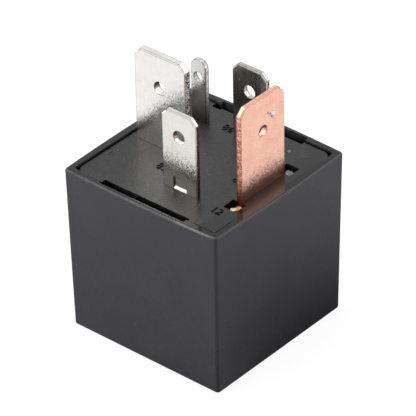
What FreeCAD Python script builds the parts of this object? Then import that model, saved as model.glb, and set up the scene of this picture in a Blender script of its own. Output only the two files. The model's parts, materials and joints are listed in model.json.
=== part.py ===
import FreeCAD, Part

import math
import os

from FreeCAD import Vector

# Plug-in automotive relay, blades up, standing on the closed end of its case.
# Millimetres. +Z runs from the closed end of the case to the blade tips.
# -Y is the side of the front coil blade, +X the side of the bare copper blade.

# Case: a moulded cup with draft, its sides bowed out a little at the rim
case_width = 28.4
case_height = 27.2
case_draft = 0.37
case_bow = 0.35
case_wall = 1.0
case_floor = 1.0
case_edge_round = 0.6
case_rim_round = 0.4
case_foot_round = 0.35
seat_step = 0.5
cavity_draft = 0.25
cavity_corner = 0.6

# Base plate that closes the case and carries the blades
base_thickness = 3.0
base_recess = 0.3
base_gap = 0.2
base_corner = 1.5
base_edge_round = 0.15
blade_gap = 0.05

# Snap between case and base, one lug on the front and one on the back wall
relief_half_length = 7.95
relief_depth = 0.7
relief_into_wall = 0.6
lug_half_length = 6.0
lug_reach = 0.4
lug_root = 0.2
lug_height = 0.6
lug_drop = 1.3
snap_gap = 0.05
notch_length = 1.7
notch_inset = 1.05

# Large blades, the two that carry the load
large_width = 9.5
large_thickness = 1.2
large_height = 15.5
large_corner = 1.1
large_hole = 2.2
large_hole_drop = 5.4

# The copper blade is as wide, of thinner sheet, with its tip coined thin
open_thickness = 1.0
open_height = 15.25
open_hole = 1.9
open_hole_drop = 5.6
open_bevel_depth = 0.25

# Coil blades
coil_blade_width = 6.3
coil_blade_thickness = 0.8
coil_blade_height = 13.0
coil_blade_corner = 1.0
coil_blade_hole = 2.1
coil_blade_hole_drop = 3.95
coil_blade_reach = 5.0
stamp_width = 2.4
stamp_height = 2.0
stamp_depth = 0.25
stamp_slope = 0.4
stamp_lift = 0.12

# Small blade of the normally closed contact
small_width = 2.8
small_thickness = 0.8
small_height = 10.4
small_hole = 1.7
small_hole_drop = 2.95

blade_tip_bevel = 0.25
blade_edge_bevel = 0.08
blade_bevel_depth = 0.15
blade_edge_round = 0.1
bend_radius = 0.4

# Where the blades stand, at the middle of each section
common_x = -7.05
common_y = -0.55
open_x = 10.5
open_y = 0.05
coil_blade_x = 2.33
front_coil_y = -7.54
back_coil_y = 7.86
closed_x = -7.6
closed_y = 8.2

# Half-round shoulders of the copper blade, seen in two square holes of the base
shoulder_radius = 0.85
shoulder_out = 0.7
shoulder_root = 1.0
shoulder_drop = 1.6
hole_length = 2.35
hole_inboard = 1.1
hole_outboard = 1.3

# Magnet system
core_x = -2.0
core_radius = 3.0
pole_radius = 4.8
pole_thickness = 1.2
pole_edge_round = 0.25
tenon_radius = 2.2
tenon_head_radius = 2.7
tenon_head = 0.4
rivet_gap = 0.02
yoke_thickness = 1.6
yoke_half_width = 6.0
yoke_leg_x = -11.6
yoke_end_margin = 0.6
foot_gap = 0.2
bobbin_bore_gap = 0.1
bobbin_wall = 0.65
flange_thickness = 0.9
flange_half_x = 7.0
flange_half_y = 6.8
flange_corner = 1.5
winding_radius = 6.4
winding_gap = 0.05
winding_end_round = 0.4
tape_thickness = 0.12
tape_inset = 0.6
lead_radius = 0.12
lead_gap = 0.07
lead_drop = 1.4
lead_rise = 2.6
lead_x = 0.6

# Armature and contacts, drawn pulled in against the pole and then let go
armature_angle = 2.4
residual_gap = 0.05
armature_thickness = 1.5
armature_half_width = 5.5
armature_length = 14.8
armature_inset = 0.35
armature_corner = 1.5
spring_leaf = 0.3
spring_half_width = 2.6
spring_inset = 3.6
spring_length = 17.5
spring_corner = 1.6
contact_x = 7.8
contact_radius = 1.8
moving_head = 0.8
open_head = 0.75
closed_head = 0.7
contact_gap = 0.05
contact_edge_round = 0.2
contact_shank = 0.9
rivet_radius = 0.7
rivet_head_radius = 1.2
rivet_head = 0.35
rivet_pocket_gap = 0.3
foot_rivet_edge = 0.15
armature_rivet_inset = 2.2
armature_rivet_offset = 4.2
armature_rivet_pitch = 3.2
foot_inner_reach = 2.6

# Return spring: a thin leaf on the back of the yoke that turns under the armature
return_leaf = 0.25
return_half_width = 3.6
return_height = 10.0
return_lip = 3.3
return_lip_gap = 0.02
return_bend = 0.25
return_rivet_radius = 0.6
return_rivet_head = 0.3
return_rivet_head_radius = 1.05
return_rivet_z = (5.0, 8.4)

# Normally closed strip
closed_outer_y = 11.6
closed_run_width = 2.8
strip_floor_gap = 0.33

# Flexible braid from the common blade to the moving contact's leaf
braid_diameter = 1.4
braid_tail_y = -8.7
braid_x = -9.0
braid_weld = 0.03

# Suppression resistor between the coil blades
resistor_radius = 1.2
resistor_half_length = 3.2
resistor_lead_radius = 0.3
resistor_x = 4.2
resistor_lift = 0.1
resistor_end_round = 0.4

# How far a cutting shape runs past the face that it opens, and how near counts as equal
cut_past = 1.0
near = 1e-3

# Levels from the base down
base_top = case_height - base_recess
base_bottom = base_top - base_thickness
foot_top = base_bottom - foot_gap
yoke_top = foot_top - large_thickness
yoke_bottom = yoke_top - yoke_thickness

# Levels from the floor of the case up. At rest the moving contact hangs lower than the pole face by
# its own stack of pieces and by what the armature falls at the contact's far edge.
strip_bottom = case_floor + strip_floor_gap
strip_top = strip_bottom + small_thickness
closed_contact_top = strip_top + closed_head
fall = math.radians(armature_angle)
contact_stack = residual_gap + armature_thickness + spring_leaf + moving_head
contact_reach = contact_x + contact_radius - yoke_leg_x - armature_inset
pole_face = (closed_contact_top + contact_gap + contact_reach * math.sin(fall)
             + contact_stack * math.cos(fall))
bobbin_bottom = pole_face + pole_thickness
armature_top = pole_face - residual_gap
armature_bottom = armature_top - armature_thickness
spring_bottom = armature_bottom - spring_leaf
hinge = Vector(yoke_leg_x + armature_inset, 0, pole_face)

# Where the blades pass through the base: place and size of each section along X and Y
blade_sections = ((common_x, common_y, large_width, large_thickness),
                  (open_x, open_y, open_thickness, large_width),
                  (coil_blade_x, front_coil_y, coil_blade_width, coil_blade_thickness),
                  (coil_blade_x, back_coil_y, coil_blade_width, coil_blade_thickness),
                  (closed_x, closed_y, small_width, small_thickness))

# Half widths and places that follow
half_rim = case_width / 2
half_pocket = half_rim - case_wall
half_cavity = half_pocket - seat_step
half_base = half_pocket - base_gap
leg_inner_x = yoke_leg_x + yoke_thickness
foot_inner_x = core_x - tenon_head_radius - foot_gap
foot_end_y = yoke_half_width - yoke_end_margin


def block(x0, x1, y0, y1, z0, z1):
    """A box between three pairs of limits, each pair in either order."""
    corner = Vector(min(x0, x1), min(y0, y1), min(z0, z1))
    return Part.makeBox(abs(x1 - x0), abs(y1 - y0), abs(z1 - z0), corner)


def rod(radius, z0, z1, x=0.0, y=0.0):
    return Part.makeCylinder(radius, z1 - z0, Vector(x, y, z0))


def rod_along_x(radius, x0, x1, y, z):
    return Part.makeCylinder(radius, x1 - x0, Vector(x0, y, z), Vector(1, 0, 0))


def rod_along_y(radius, y0, y1, x, z):
    return Part.makeCylinder(radius, abs(y1 - y0), Vector(x, min(y0, y1), z), Vector(0, 1, 0))


def edges_where(shape, test):
    """The edges of a shape whose box passes a test."""
    return [edge for edge in shape.Edges if test(edge.BoundBox)]


def upright(box):
    return box.ZLength > near and box.XLength < near and box.YLength < near


def joined(*shapes):
    first, rest = shapes[0], list(shapes[1:])
    return first.multiFuse(rest).removeSplitter() if rest else first


def rounded_block(half_x, half_y, z0, z1, corner):
    plate = block(-half_x, half_x, -half_y, half_y, z0, z1)
    return plate.makeFillet(corner, edges_where(plate, upright))


def square_corners(half, z):
    return [Vector(x * half, y * half, z) for x, y in ((-1, -1), (1, -1), (1, 1), (-1, 1))]


def square_wire(half, z):
    corners = square_corners(half, z)
    return Part.makePolygon(corners + corners[:1])


def bowed_wire(half, bow, z):
    """A square whose sides are shallow arcs that stand out by bow at their middle."""
    corners = square_corners(half, z)
    reach = half + bow
    middles = [Vector(x * reach, y * reach, z) for x, y in ((0, -1), (1, 0), (0, 1), (-1, 0))]
    sides = [Part.Arc(corners[i], middles[i], corners[(i + 1) % 4]).toShape() for i in range(4)]
    return Part.Wire(sides)


def bent_strip(path, thickness, across, low, high, radius=bend_radius):
    """Sheet metal bent in one upright plane.

    path holds (u, z) points on the middle of the sheet, where u is X for a strip that is
    wide along Y, and Y for a strip that is wide along X. radius is the inside of each bend.
    """
    def place(u, z):
        return Vector(u, low, z) if across == "Y" else Vector(low, u, z)

    points = [Vector(u, z, 0) for u, z in path]
    runs = [(b - a).normalize() for a, b in zip(points, points[1:])]
    left = [Vector(-run.y, run.x, 0) for run in runs]
    middle_radius = radius + thickness / 2
    sides = []
    for offset in (thickness / 2, -thickness / 2):
        edges = []
        start = points[0] + left[0] * offset
        for i in range(1, len(points) - 1):
            turn = math.acos(max(-1.0, min(1.0, runs[i - 1].dot(runs[i]))))
            sign = 1 if runs[i - 1].cross(runs[i]).z > 0 else -1
            reach = middle_radius * math.tan(turn / 2)
            arc_start = points[i] - runs[i - 1] * reach
            arc_end = points[i] + runs[i] * reach
            centre = arc_start + left[i - 1] * (sign * middle_radius)
            outward = (points[i] - centre).normalize() * (middle_radius - sign * offset)
            a = arc_start + left[i - 1] * offset
            b = arc_end + left[i] * offset
            m = centre + outward
            edges.append(Part.LineSegment(place(start.x, start.y), place(a.x, a.y)).toShape())
            edges.append(Part.Arc(place(a.x, a.y), place(m.x, m.y), place(b.x, b.y)).toShape())
            start = b
        end = points[-1] + left[-1] * offset
        edges.append(Part.LineSegment(place(start.x, start.y), place(end.x, end.y)).toShape())
        sides.append(edges)
    caps = []
    for point, normal in ((points[0], left[0]), (points[-1], left[-1])):
        a = point + normal * (thickness / 2)
        b = point - normal * (thickness / 2)
        caps.append(Part.LineSegment(place(a.x, a.y), place(b.x, b.y)).toShape())
    wire = Part.Wire(Part.__sortEdges__(sides[0] + sides[1] + caps))
    width = Vector(0, high - low, 0) if across == "Y" else Vector(high - low, 0, 0)
    return Part.Face(wire).extrude(width)


def tube(points, radius):
    """A round wire along straight runs joined by tangent arcs, as large as the runs allow."""
    points = [Vector(*point) for point in points]
    edges = []
    radii = []
    start = points[0]
    for i in range(1, len(points) - 1):
        run_in = points[i] - points[i - 1]
        run_out = points[i + 1] - points[i]
        shorter = min(run_in.Length, run_out.Length)
        run_in.normalize()
        run_out.normalize()
        turn = math.acos(run_in.dot(run_out))
        reach = 0.45 * shorter
        bend = reach / math.tan(turn / 2)
        arc_start = points[i] - run_in * reach
        arc_end = points[i] + run_out * reach
        inward = (run_out - run_in).normalize()
        centre = points[i] + inward * (bend / math.cos(turn / 2))
        arc_middle = centre - inward * bend
        edges.append(Part.LineSegment(start, arc_start).toShape())
        edges.append(Part.Arc(arc_start, arc_middle, arc_end).toShape())
        radii.append(bend)
        start = arc_end
    edges.append(Part.LineSegment(start, points[-1]).toShape())
    path = Part.Wire(edges)
    direction = points[1] - points[0]
    section = Part.Wire(Part.makeCircle(radius, points[0], direction))
    solid = path.makePipeShell([section], True, False)
    print("wire radii", [round(value, 2) for value in radii], "length", round(path.Length, 2),
          "volume ratio", round(solid.Volume / (math.pi * radius ** 2 * path.Length), 4))
    return solid


def tab(width, thickness, height, corner, hole, hole_drop, bevel_depth=blade_bevel_depth):
    """A flat blade on z = 0 that faces -Y, cut at its tip's corners and bevelled at all its edges."""
    depth = thickness / 2
    faces = tab_outline(width, height, corner, blade_edge_bevel, blade_tip_bevel, -depth)
    waist = tab_outline(width, height, corner, 0, 0, bevel_depth - depth)
    front = Part.makeLoft([faces, waist], True, True)
    back = front.mirror(Vector(0, 0, 0), Vector(0, 1, 0))
    middle = Part.Face(waist).extrude(Vector(0, thickness - 2 * bevel_depth, 0))
    blade = joined(front, middle, back)
    return blade.cut(rod_along_y(hole / 2, -thickness, thickness, 0, height - hole_drop))


def tab_outline(width, height, corner, side_inset, tip_inset, y):
    """Front view of a blade, drawn in by one amount at its sides and by another at its tip."""
    side = width / 2 - side_inset
    top = height - tip_inset
    slope = width / 2 + height - corner - tip_inset * math.sqrt(2)
    right = [(side, 0), (side, slope - side), (slope - top, top)]
    left = [(-x, z) for x, z in reversed(right)]
    corners = [Vector(x, y, z) for x, z in right + left]
    return Part.makePolygon(corners + corners[:1])


def round_tab(width, thickness, height, hole, hole_drop):
    """As tab, with a half-round tip. The rounding of the side edges runs on over the tip."""
    half = width / 2
    depth = thickness / 2
    shoulder = height - half
    edges = [Part.LineSegment(Vector(-half, -depth, shoulder), Vector(-half, -depth, 0)).toShape(),
             Part.LineSegment(Vector(-half, -depth, 0), Vector(half, -depth, 0)).toShape(),
             Part.LineSegment(Vector(half, -depth, 0), Vector(half, -depth, shoulder)).toShape(),
             Part.Arc(Vector(half, -depth, shoulder), Vector(0, -depth, height),
                      Vector(-half, -depth, shoulder)).toShape()]
    blade = Part.Face(Part.Wire(edges)).extrude(Vector(0, thickness, 0))
    blade = blade.makeFillet(blade_edge_round, side_edges(blade, depth))
    return blade.cut(rod_along_y(hole / 2, -thickness, thickness, 0, height - hole_drop))


def on_a_face(box, depth):
    return box.YLength < near and abs(abs(box.YMin) - depth) < near


def side_edges(blade, depth):
    return edges_where(blade, lambda box: on_a_face(box, depth) and upright(box))


def rivet(z0, z1, x, y, head_above):
    """A shank between z0 and z1, flush at one end and with a head at the other."""
    head = (z1, z1 + rivet_head) if head_above else (z0 - rivet_head, z0)
    return joined(rod(rivet_radius, z0, z1, x, y), rod(rivet_head_radius, head[0], head[1], x, y))


def let_go(shape):
    """Turn a piece of the armature from its pulled-in place to its place at rest."""
    turned = shape.copy()
    turned.rotate(hinge, Vector(0, 1, 0), armature_angle)
    return turned


def let_go_point(x, z):
    dx = x - hinge.x
    dz = z - hinge.z
    return (hinge.x + dx * math.cos(fall) + dz * math.sin(fall),
            hinge.z - dx * math.sin(fall) + dz * math.cos(fall))


def case():
    outer = Part.makeLoft([square_wire(half_rim - case_draft, 0),
                           bowed_wire(half_rim, case_bow, case_height)], True, True)
    outer = outer.makeFillet(case_edge_round, edges_where(outer, lambda box: box.ZLength > case_height / 2))
    outer = outer.makeFillet(case_rim_round, edges_where(outer, lambda box: box.ZMin > case_height - near))
    outer = outer.makeFillet(case_foot_round, edges_where(outer, lambda box: box.ZMax < near))
    pocket = rounded_block(half_pocket, half_pocket, base_bottom, case_height + cut_past, cavity_corner)
    cavity = Part.makeLoft([square_wire(half_cavity - cavity_draft, case_floor),
                            square_wire(half_cavity, base_bottom)], True, True)
    cavity_edges = edges_where(cavity, lambda box: box.ZLength > case_height / 2)
    cavity = cavity.makeFillet(cavity_corner, cavity_edges)
    shell = outer.cut(pocket).cut(cavity)
    lug_top = base_top - lug_drop
    for side in (-1, 1):
        wall = side * half_pocket
        slot = block(-relief_half_length, relief_half_length, wall, wall + side * relief_into_wall,
                     lug_top, case_height + cut_past)
        lug = block(-lug_half_length, lug_half_length, wall - side * lug_reach, wall + side * lug_root,
                    lug_top - lug_height, lug_top)
        shell = shell.cut(slot).fuse(lug)
    return shell.removeSplitter()


def base():
    """The plate with its reliefs, notch, blade slots, square holes and pockets for rivet heads."""
    bottom = base_bottom - cut_past
    top = base_top + cut_past
    edge = half_base + cut_past
    plate = rounded_block(half_base, half_base, base_bottom, base_top, base_corner)
    plate = plate.makeFillet(base_edge_round, edges_where(plate, lambda box: box.ZMin > base_top - near))
    lip_top = base_top - lug_drop - lug_height - snap_gap
    for side in (-1, 1):
        plate = plate.cut(block(-relief_half_length, relief_half_length, side * edge,
                                side * (half_base - relief_depth), lip_top, top))
    plate = plate.cut(block(-relief_half_length - notch_length / 2, notch_length / 2 - relief_half_length,
                            half_base - notch_inset, edge, bottom, top))
    for x, y, width, thickness in blade_sections:
        half_x = width / 2 + blade_gap
        half_y = thickness / 2 + blade_gap
        plate = plate.cut(block(x - half_x, x + half_x, y - half_y, y + half_y, bottom, top))
    for side in (-1, 1):
        end = open_y + side * large_width / 2
        plate = plate.cut(block(open_x - hole_inboard, open_x + hole_outboard,
                                end, end + side * hole_length, bottom, top))
    pocket_radius = rivet_head_radius + rivet_pocket_gap
    pocket_top = foot_top + rivet_head + rivet_pocket_gap
    for x, y in foot_rivet_places():
        plate = plate.cut(rod(pocket_radius, bottom, pocket_top, x, y))
    return plate.removeSplitter()


def common_blade():
    """The common blade turns under the base into a foot that lies on the yoke."""
    half = large_width / 2
    front = common_y - large_thickness / 2
    back = common_y + large_thickness / 2
    blade = tab(large_width, large_thickness, large_height, large_corner, large_hole, large_hole_drop)
    blade.translate(Vector(common_x, common_y, base_top))
    foot_z = yoke_top + large_thickness / 2
    foot = bent_strip([(common_y, base_top), (common_y, foot_z), (foot_end_y, foot_z)],
                      large_thickness, "X", common_x - half, foot_inner_x)
    upper = block(common_x - half, common_x + half, front, back, foot_top, base_top)
    tail = block(common_x - half, braid_x + braid_diameter, braid_tail_y - braid_diameter,
                 back + bend_radius, yoke_top, foot_top)
    blade = joined(blade, upper, foot, tail)
    for x, y in foot_rivet_places():
        blade = blade.cut(rod(rivet_radius + rivet_gap, yoke_top - cut_past, foot_top + cut_past, x, y))
    return blade


def foot_rivet_places():
    """One rivet close to both bends, one in the far corner of the foot, so that they lie on flat metal."""
    near_x = leg_inner_x + bend_radius + rivet_radius + foot_rivet_edge
    near_y = common_y + large_thickness / 2 + bend_radius + rivet_head_radius + foot_rivet_edge
    far_x = foot_inner_x - rivet_head_radius - foot_rivet_edge
    far_y = foot_end_y - rivet_head_radius - foot_rivet_edge
    return [(near_x, near_y), (far_x, far_y)]


def common_blade_rivets():
    return Part.makeCompound([rivet(yoke_bottom, foot_top, x, y, True) for x, y in foot_rivet_places()])


def open_blade():
    """The copper blade runs down beside the coil and turns in under it to the fixed contact."""
    half = large_width / 2
    inner = open_x - open_thickness / 2
    outer = open_x + open_thickness / 2
    blade = tab(large_width, open_thickness, open_height, large_corner, open_hole, open_hole_drop,
                open_bevel_depth)
    blade.rotate(Vector(0, 0, 0), Vector(0, 0, 1), 90)
    blade.translate(Vector(open_x, open_y, base_top))
    foot_z = open_contact_bottom() + open_head + open_thickness / 2
    strip = bent_strip([(open_x, base_top), (open_x, foot_z), (contact_x - foot_inner_reach, foot_z)],
                       open_thickness, "Y", open_y - half, open_y + half)
    shoulders = []
    z = base_top - shoulder_drop
    for side in (-1, 1):
        y = open_y + side * (half + shoulder_out)
        root = open_y + side * (half - shoulder_root)
        shoulders.append(rod_along_x(shoulder_radius, inner, outer, y, z))
        shoulders.append(block(inner, outer, root, y, z - shoulder_radius, z + shoulder_radius))
    blade = joined(blade, strip, *shoulders)
    return blade.cut(rod(contact_shank + rivet_gap, 0, foot_z + open_thickness, contact_x))


def open_contact_bottom():
    return spring_bottom + spring_leaf + moving_head + contact_gap


def open_contact():
    bottom = open_contact_bottom()
    foot_bottom = bottom + open_head
    foot_upper = foot_bottom + open_thickness
    face = rod(contact_radius, bottom, foot_bottom, contact_x)
    face = face.makeFillet(contact_edge_round, edges_where(face, lambda box: box.ZMax < bottom + near))
    return joined(face, rod(contact_shank, foot_bottom, foot_upper, contact_x),
                  rod(rivet_head_radius, foot_upper, foot_upper + rivet_head, contact_x))


def coil_blade(y, side):
    """A coil blade. side is the way its stamped face looks, -1 for -Y."""
    blade = tab(coil_blade_width, coil_blade_thickness, coil_blade_height, coil_blade_corner,
                coil_blade_hole, coil_blade_hole_drop)
    blade.translate(Vector(coil_blade_x, y, base_top))
    half = coil_blade_width / 2
    back = y - side * coil_blade_thickness / 2
    face = y + side * coil_blade_thickness / 2
    tail = block(coil_blade_x - half, coil_blade_x + half, back, face,
                 base_bottom - coil_blade_reach, base_top)
    # the stamped window has three upright walls and a sloping lower one
    stamp_z = base_top + stamp_lift
    outside = face + side * cut_past
    sunk = face - side * stamp_depth
    profile = [(outside, stamp_z), (face, stamp_z), (sunk, stamp_z + stamp_slope),
               (sunk, stamp_z + stamp_height), (outside, stamp_z + stamp_height), (outside, stamp_z)]
    wire = Part.makePolygon([Vector(coil_blade_x - stamp_width / 2, out, z) for out, z in profile])
    stamp = Part.Face(wire).extrude(Vector(stamp_width, 0, 0))
    return joined(blade, tail).cut(stamp)


def closed_blade():
    """The small blade steps out to the back wall, runs down it and turns in under the contact."""
    half = small_width / 2
    half_t = small_thickness / 2
    blade = round_tab(small_width, small_thickness, small_height, small_hole, small_hole_drop)
    blade.translate(Vector(closed_x, closed_y, base_top))
    step_z = foot_top - half_t
    strip_z = strip_bottom + half_t
    run_inner = closed_outer_y - closed_run_width + half_t
    run_outer = closed_outer_y - half_t - bend_radius
    strip = bent_strip([(closed_y, base_top), (closed_y, step_z), (closed_outer_y, step_z),
                        (closed_outer_y, strip_z), (run_inner, strip_z)],
                       small_thickness, "X", closed_x - half, closed_x + half)
    run = block(closed_x + half, contact_x + half, run_inner, run_outer, strip_bottom, strip_top)
    tongue = block(contact_x - half, contact_x + half, 0, run_outer, strip_bottom, strip_top)
    end = rod(half, strip_bottom, strip_top, contact_x)
    shank = rod(contact_shank + rivet_gap, strip_bottom - cut_past, strip_top + cut_past, contact_x)
    return joined(blade, strip, run, tongue, end).cut(shank)


def closed_contact():
    top = closed_contact_top
    face = rod(contact_radius, strip_top, top, contact_x)
    face = face.makeFillet(contact_edge_round, edges_where(face, lambda box: box.ZMin > top - near))
    return joined(face, rod(contact_shank, strip_bottom, strip_top, contact_x))


def yoke():
    leg_x = yoke_leg_x + yoke_thickness / 2
    foot_end = core_x + pole_radius
    middle = (yoke_top + yoke_bottom) / 2
    shape = bent_strip([(leg_x, pole_face), (leg_x, middle), (foot_end, middle)], yoke_thickness, "Y",
                       -yoke_half_width, yoke_half_width)
    low = yoke_bottom - cut_past
    high = yoke_top + cut_past
    shape = shape.cut(rod(tenon_radius + rivet_gap, low, high, core_x))
    for x, y in foot_rivet_places():
        shape = shape.cut(rod(rivet_radius + rivet_gap, low, high, x, y))
    return shape.cut(return_rivet_holes(yoke_leg_x, leg_inner_x))


def return_rivet_holes(x0, x1):
    radius = return_rivet_radius + rivet_gap
    return joined(*[rod_along_x(radius, x0 - cut_past, x1 + cut_past, 0, pole_face + z)
                    for z in return_rivet_z])


def core():
    """Soft-iron core: pole disc at the bottom, tenon riveted over the yoke at the top."""
    disc = rod(pole_radius, pole_face, bobbin_bottom, core_x)
    disc = disc.makeFillet(pole_edge_round, edges_where(disc, lambda box: box.ZMax < pole_face + near))
    return joined(disc, rod(core_radius, bobbin_bottom, yoke_bottom, core_x),
                  rod(tenon_radius, yoke_bottom, yoke_top, core_x),
                  rod(tenon_head_radius, yoke_top, yoke_top + tenon_head, core_x))


def bobbin():
    bore = core_radius + bobbin_bore_gap
    flanges = [rounded_block(flange_half_x, flange_half_y, low, low + flange_thickness, flange_corner)
               for low in (bobbin_bottom, yoke_bottom - flange_thickness)]
    shape = joined(rod(bore + bobbin_wall, bobbin_bottom, yoke_bottom), *flanges)
    shape = shape.cut(rod(bore, bobbin_bottom - cut_past, yoke_bottom + cut_past))
    shape.translate(Vector(core_x, 0, 0))
    return shape


def winding_span():
    return bobbin_bottom + flange_thickness + winding_gap, yoke_bottom - flange_thickness - winding_gap


def coil_winding():
    low, high = winding_span()
    inner = core_radius + bobbin_bore_gap + bobbin_wall
    body = rod(winding_radius, low, high, core_x)
    body = body.makeFillet(winding_end_round, edges_where(body, lambda box: box.ZLength < near))
    return body.cut(rod(inner, low - cut_past, high + cut_past, core_x))


def winding_tape():
    low, high = winding_span()
    outside = rod(winding_radius + tape_thickness, low + tape_inset, high - tape_inset, core_x)
    return outside.cut(rod(winding_radius, low, high, core_x))


def coil_lead(y, side):
    """From the end of the winding out to the inner face of a coil blade, then up it."""
    face = y - side * coil_blade_thickness / 2
    height = winding_span()[1] - lead_drop
    reach = math.sqrt((winding_radius + tape_thickness) ** 2 - (lead_x - core_x) ** 2)
    start = side * (reach + lead_gap)
    blade_y = face - side * lead_radius
    route = [(lead_x, start, height), (lead_x, blade_y, height), (lead_x, blade_y, height + lead_rise)]
    return tube(route, lead_radius)


def resistor():
    half = resistor_half_length
    body = rod_along_y(resistor_radius, -half, half, resistor_x, resistor_height())
    return body.makeFillet(resistor_end_round, edges_where(body, lambda box: box.YLength < near))


def resistor_height():
    return yoke_bottom + resistor_lift + resistor_radius


def resistor_leads():
    leads = []
    for side, y in ((-1, front_coil_y), (1, back_coil_y)):
        inner = side * resistor_half_length
        face = y - side * coil_blade_thickness / 2
        leads.append(rod_along_y(resistor_lead_radius, inner, face, resistor_x, resistor_height()))
    return Part.makeCompound(leads)


def armature_rivet_places():
    x = yoke_leg_x + armature_inset + spring_inset + armature_rivet_inset
    y = armature_rivet_pitch / 2
    return [(x, 0), (x + armature_rivet_offset, -y), (x + armature_rivet_offset, y)]


def armature():
    x0 = yoke_leg_x + armature_inset
    half = armature_half_width
    plate = block(x0, x0 + armature_length, -half, half, armature_bottom, armature_top)
    far_corners = edges_where(plate, lambda box: upright(box) and box.XMin > x0 + near)
    plate = plate.makeFillet(armature_corner, far_corners)
    low = armature_bottom - cut_past
    high = armature_top + cut_past
    for x, y in armature_rivet_places():
        plate = plate.cut(rod(rivet_radius + rivet_gap, low, high, x, y))
    return let_go(plate)


def contact_spring():
    x0 = yoke_leg_x + armature_inset + spring_inset
    half = spring_half_width
    leaf = block(x0, x0 + spring_length, -half, half, spring_bottom, armature_bottom)
    leaf = leaf.makeFillet(spring_corner, edges_where(leaf, upright))
    low = spring_bottom - cut_past
    high = armature_bottom + cut_past
    for x, y in armature_rivet_places():
        leaf = leaf.cut(rod(rivet_radius + rivet_gap, low, high, x, y))
    return let_go(leaf.cut(rod(contact_shank + rivet_gap, low, high, contact_x)))


def armature_rivets():
    """Flush with the top of the armature, so that it can lie flat on the pole."""
    return Part.makeCompound([let_go(rivet(spring_bottom, armature_top, x, y, False))
                              for x, y in armature_rivet_places()])


def moving_contact():
    shank = rod(contact_shank, spring_bottom, armature_bottom, contact_x)
    upper = rod(contact_radius, armature_bottom, armature_bottom + moving_head, contact_x)
    lower = rod(contact_radius, spring_bottom - moving_head, spring_bottom, contact_x)
    return let_go(joined(upper, shank, lower))


def return_spring():
    back = yoke_leg_x - return_leaf / 2
    lip_end = let_go_point(yoke_leg_x + return_lip, armature_bottom - return_lip_gap - return_leaf / 2)
    corner = (back, lip_end[1] + (lip_end[0] - back) * math.tan(fall))
    leaf = bent_strip([(back, pole_face + return_height), corner, lip_end], return_leaf, "Y",
                      -return_half_width, return_half_width, return_bend)
    return leaf.cut(return_rivet_holes(yoke_leg_x - return_leaf, yoke_leg_x))


def return_spring_rivets():
    rivets = []
    for z in return_rivet_z:
        height = pole_face + z
        outer = yoke_leg_x - return_leaf
        shank = rod_along_x(return_rivet_radius, outer, leg_inner_x, 0, height)
        head = rod_along_x(return_rivet_head_radius, outer - return_rivet_head, outer, 0, height)
        rivets.append(shank.fuse(head).removeSplitter())
    return Part.makeCompound(rivets)


def braid():
    """From under the common blade's tail, down past the coil, to the underside of the contact leaf."""
    end_x = contact_x - contact_radius - braid_diameter
    end_z = let_go_point(end_x, spring_bottom)[1] - braid_diameter / 2 - braid_weld
    route = [(braid_x, braid_tail_y, yoke_top - braid_weld), (braid_x, braid_tail_y - 0.3, end_z + 2.4),
             (-1.5, braid_tail_y, end_z), (end_x, braid_tail_y + 2.6, end_z), (end_x, 0.8, end_z)]
    return tube(route, braid_diameter / 2)


parts = {
    "case": case(),
    "base": base(),
    "common_blade": common_blade(),
    "common_blade_rivets": common_blade_rivets(),
    "open_blade": open_blade(),
    "open_contact": open_contact(),
    "closed_blade": closed_blade(),
    "closed_contact": closed_contact(),
    "coil_blade_front": coil_blade(front_coil_y, -1),
    "coil_blade_back": coil_blade(back_coil_y, 1),
    "yoke": yoke(),
    "core": core(),
    "bobbin": bobbin(),
    "coil_winding": coil_winding(),
    "winding_tape": winding_tape(),
    "coil_lead_front": coil_lead(front_coil_y, -1),
    "coil_lead_back": coil_lead(back_coil_y, 1),
    "resistor": resistor(),
    "resistor_leads": resistor_leads(),
    "armature": armature(),
    "contact_spring": contact_spring(),
    "armature_rivets": armature_rivets(),
    "moving_contact": moving_contact(),
    "return_spring": return_spring(),
    "return_spring_rivets": return_spring_rivets(),
    "braid": braid(),
}

os.makedirs("parts", exist_ok=True)
for name, shape in parts.items():
    shape.exportStep("parts/" + name + ".step")
    box = shape.BoundBox
    print(f"{name:22s} solids {len(shape.Solids)} valid {shape.isValid()} volume {shape.Volume:9.2f} "
          f"x {box.XMin:7.2f} {box.XMax:7.2f} y {box.YMin:7.2f} {box.YMax:7.2f} "
          f"z {box.ZMin:6.2f} {box.ZMax:6.2f}")
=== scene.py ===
# %% [markdown]
# # A plug-in automotive relay, standing on its closed end
# The real thing is a black nylon cup with a nylon plate snapped into its mouth. Five blades of
# stamped strip come up through the plate: four tin plated, one left as bare copper. The shapes
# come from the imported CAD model, which already has every part at its true size. This lesson gives
# each part the finish of the real one, adds the small things that CAD left out, and sets up the
# same plain product photograph.

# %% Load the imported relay
import json
import math

import bmesh
import bpy
from mathutils import Matrix, Vector, noise


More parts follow.
